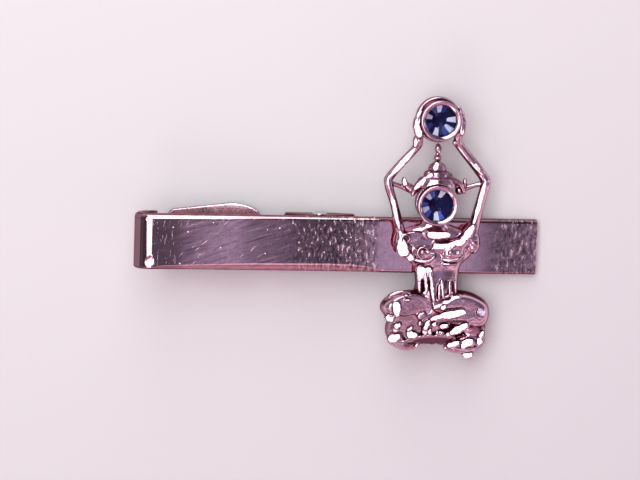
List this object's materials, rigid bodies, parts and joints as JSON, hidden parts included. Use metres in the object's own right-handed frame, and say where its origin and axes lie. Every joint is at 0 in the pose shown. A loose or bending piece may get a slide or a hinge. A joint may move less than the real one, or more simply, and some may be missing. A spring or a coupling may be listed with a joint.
{
  "type": "tie bar",
  "caption": "Folded metal tie bar with a sprung clip lever behind it and a cast seated dancer holding one of two round blue stones.",
  "frame": {"origin": "centre of the bar's flat front face", "axes": "+X along the bar, away from its folded end; +Y towards the dancer's headdress; +Z out of the front face"},
  "size_m": [0.0464, 0.0299, 0.0112],
  "materials": {
    "plate": "polished plated strip, fine scratches and pits",
    "cast": "plated casting, glossy, dark in the folds",
    "clip": "plated stamping, satin",
    "steel": "bright drawn wire",
    "foil": "mirror",
    "stone": "faceted clear sapphire blue"
  },
  "bodies": {
    "bar": {"front_bar": "plate", "hinge_bracket": "clip", "hinge_pin": "steel", "torsion_spring": "steel", "dancer_casting": "cast", "face_stone_cup": "cast", "face_stone_foil": "foil", "face_stone": "stone", "upper_stone_cup": "cast", "upper_stone_foil": "foil", "upper_stone": "stone"},
    "lever": {"clip_lever": "clip"}
  },
  "joints": [
    {"name": "clip_hinge", "type": "hinge", "parent": "bar", "child": "lever", "pos_m": [-0.0018, 0, -0.00315], "axis": [0, 1, 0], "range_deg": [0, 17.5], "stiffness_Nm_per_rad": 0.0114, "springref_deg": -68.75, "deforming": ["torsion_spring"]}
  ]
}
